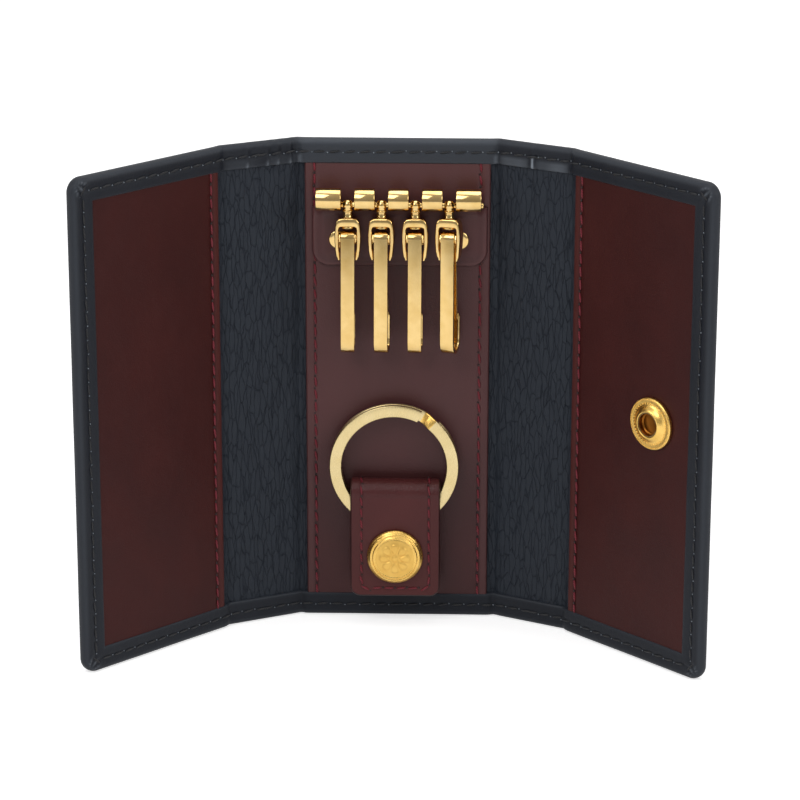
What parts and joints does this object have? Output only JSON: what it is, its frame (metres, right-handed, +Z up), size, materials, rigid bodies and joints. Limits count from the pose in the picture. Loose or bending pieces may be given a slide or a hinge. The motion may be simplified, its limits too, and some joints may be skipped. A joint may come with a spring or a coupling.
{
  "type": "key case",
  "caption": "Leather key case that folds in three, standing open, with swivel key hooks on a rack, a split ring in a snap strap, and a press snap between the wings.",
  "frame": {"origin": "middle of the centre's bottom edge, on the plane that the open case stands on", "axes": "+X towards the right wing seen from the open side, +Y out of the back, +Z up"},
  "size_m": [0.1324, 0.0385, 0.108],
  "materials": {
    "navy_leather": "grained, semi-gloss",
    "navy_lining": "grained, creased",
    "burgundy_leather": "smooth, semi-gloss",
    "strap_leather": "fine grain, semi-gloss",
    "board": "pressed fibre board",
    "hook_brass": "polished gold plate",
    "ring_brass": "polished pale gold plate",
    "snap_brass": "satin gold plate",
    "spring_steel": "drawn wire"
  },
  "bodies": {
    "centre": {"cover_centre": "navy_leather", "centre_board": "board", "centre_panel": "burgundy_leather", "rack_plate": "hook_brass", "rack_axle": "hook_brass", "rack_patch": "strap_leather", "rack_rivets": "hook_brass", "strap_back": "strap_leather", "strap_snap_stud": "snap_brass", "strap_stud_eyelet": "snap_brass"},
    "left_spine": {"cover_left_spine": "navy_leather", "left_spine_lining": "navy_lining"},
    "left_wing": {"cover_left_wing": "navy_leather", "left_wing_board": "board", "left_wing_panel": "burgundy_leather", "wing_snap_stud": "snap_brass", "wing_stud_eyelet": "snap_brass"},
    "right_spine": {"cover_right_spine": "navy_leather", "right_spine_lining": "navy_lining"},
    "right_wing": {"cover_right_wing": "navy_leather", "right_wing_board": "board", "right_wing_panel": "burgundy_leather", "wing_snap_cap": "snap_brass", "wing_snap_socket": "snap_brass", "wing_snap_spring": "spring_steel"},
    "strap_front": {"strap_flap": "strap_leather", "strap_snap_cap": "snap_brass", "strap_snap_socket": "snap_brass", "strap_snap_spring": "spring_steel"},
    "ring": {"split_ring": "ring_brass"},
    "hook_1_swivel_stem": {"hook_1_stem": "hook_brass"},
    "hook_1": {"hook_1_yoke": "hook_brass", "hook_1_pin": "hook_brass", "hook_1_body": "hook_brass"},
    "hook_1_latch": {"hook_1_gate": "hook_brass"},
    "hook_2_swivel_stem": {"hook_2_stem": "hook_brass"},
    "hook_2": {"hook_2_yoke": "hook_brass", "hook_2_pin": "hook_brass", "hook_2_body": "hook_brass"},
    "hook_2_latch": {"hook_2_gate": "hook_brass"},
    "hook_3_swivel_stem": {"hook_3_stem": "hook_brass"},
    "hook_3": {"hook_3_yoke": "hook_brass", "hook_3_pin": "hook_brass", "hook_3_body": "hook_brass"},
    "hook_3_latch": {"hook_3_gate": "hook_brass"},
    "hook_4_swivel_stem": {"hook_4_stem": "hook_brass"},
    "hook_4": {"hook_4_yoke": "hook_brass", "hook_4_pin": "hook_brass", "hook_4_body": "hook_brass"},
    "hook_4_latch": {"hook_4_gate": "hook_brass"}
  },
  "joints": [
    {"name": "left_spine_fold", "type": "hinge", "parent": "centre", "child": "left_spine", "pos_m": [-0.0215, 0.0009, 0.054], "axis": [0, 0, 1], "range_deg": [-26.8, 63.2]},
    {"name": "left_wing_fold", "type": "hinge", "parent": "left_spine", "child": "left_wing", "pos_m": [-0.03748, -0.00717, 0.054], "axis": [0, 0, 1], "range_deg": [-18.2, 79.22]},
    {"name": "right_spine_fold", "type": "hinge", "parent": "centre", "child": "right_spine", "pos_m": [0.0215, 0.0009, 0.054], "axis": [0, 0, -1], "range_deg": [-26.8, 63.2]},
    {"name": "right_wing_fold", "type": "hinge", "parent": "right_spine", "child": "right_wing", "pos_m": [0.03748, -0.00717, 0.054], "axis": [0, 0, -1], "range_deg": [-18.2, 64.38]},
    {"name": "hook_1_swing", "type": "hinge", "parent": "centre", "child": "hook_1_swivel_stem", "pos_m": [-0.01043, -0.00525, 0.09474], "axis": [1, 0, 0], "range_deg": [-90, 0]},
    {"name": "hook_1_turn", "type": "hinge", "parent": "hook_1_swivel_stem", "child": "hook_1", "pos_m": [-0.01043, -0.00525, 0.09474], "axis": [0, 0.0872, 0.9962], "range_deg": [-360, 0]},
    {"name": "hook_1_gate_hinge", "type": "hinge", "parent": "hook_1", "child": "hook_1_latch", "pos_m": [-0.01043, -0.00587, 0.08767], "axis": [1, 0, 0], "range_deg": [-10, 0], "stiffness_Nm_per_rad": 0.0008},
    {"name": "hook_2_swing", "type": "hinge", "parent": "centre", "child": "hook_2_swivel_stem", "pos_m": [-0.00328, -0.00525, 0.09474], "axis": [1, 0, 0], "range_deg": [-90, 0]},
    {"name": "hook_2_turn", "type": "hinge", "parent": "hook_2_swivel_stem", "child": "hook_2", "pos_m": [-0.00328, -0.00525, 0.09474], "axis": [0, 0.0872, 0.9962], "range_deg": [-360, 0]},
    {"name": "hook_2_gate_hinge", "type": "hinge", "parent": "hook_2", "child": "hook_2_latch", "pos_m": [-0.00328, -0.00587, 0.08767], "axis": [0.9962, -0.0868, 0.0076], "range_deg": [-10, 0], "stiffness_Nm_per_rad": 0.0008},
    {"name": "hook_3_swing", "type": "hinge", "parent": "centre", "child": "hook_3_swivel_stem", "pos_m": [0.00387, -0.00525, 0.09474], "axis": [1, 0, 0], "range_deg": [-90, 0]},
    {"name": "hook_3_turn", "type": "hinge", "parent": "hook_3_swivel_stem", "child": "hook_3", "pos_m": [0.00387, -0.00525, 0.09474], "axis": [0, 0.0872, 0.9962], "range_deg": [-360, 0]},
    {"name": "hook_3_gate_hinge", "type": "hinge", "parent": "hook_3", "child": "hook_3_latch", "pos_m": [0.00387, -0.00587, 0.08767], "axis": [0.9986, -0.0521, 0.0046], "range_deg": [-10, 0], "stiffness_Nm_per_rad": 0.0008},
    {"name": "hook_4_swing", "type": "hinge", "parent": "centre", "child": "hook_4_swivel_stem", "pos_m": [0.01103, -0.00525, 0.09474], "axis": [1, 0, 0], "range_deg": [-90, 0]},
    {"name": "hook_4_turn", "type": "hinge", "parent": "hook_4_swivel_stem", "child": "hook_4", "pos_m": [0.01103, -0.00525, 0.09474], "axis": [0, 0.0872, 0.9962], "range_deg": [-360, 0]},
    {"name": "hook_4_gate_hinge", "type": "hinge", "parent": "hook_4", "child": "hook_4_latch", "pos_m": [0.01103, -0.00587, 0.08767], "axis": [0.9613, -0.2746, 0.024], "range_deg": [-10, 0], "stiffness_Nm_per_rad": 0.0008},
    {"name": "strap_flap_hinge", "type": "hinge", "parent": "centre", "child": "strap_front", "pos_m": [-0.0003, -0.00628, 0.03008], "axis": [1, 0, 0], "range_deg": [-100, 0]},
    {"name": "ring_spin", "type": "hinge", "parent": "centre", "child": "ring", "pos_m": [-0.0006, -0.00407, 0.036], "axis": [0, 1, 0], "continuous": true}
  ]
}
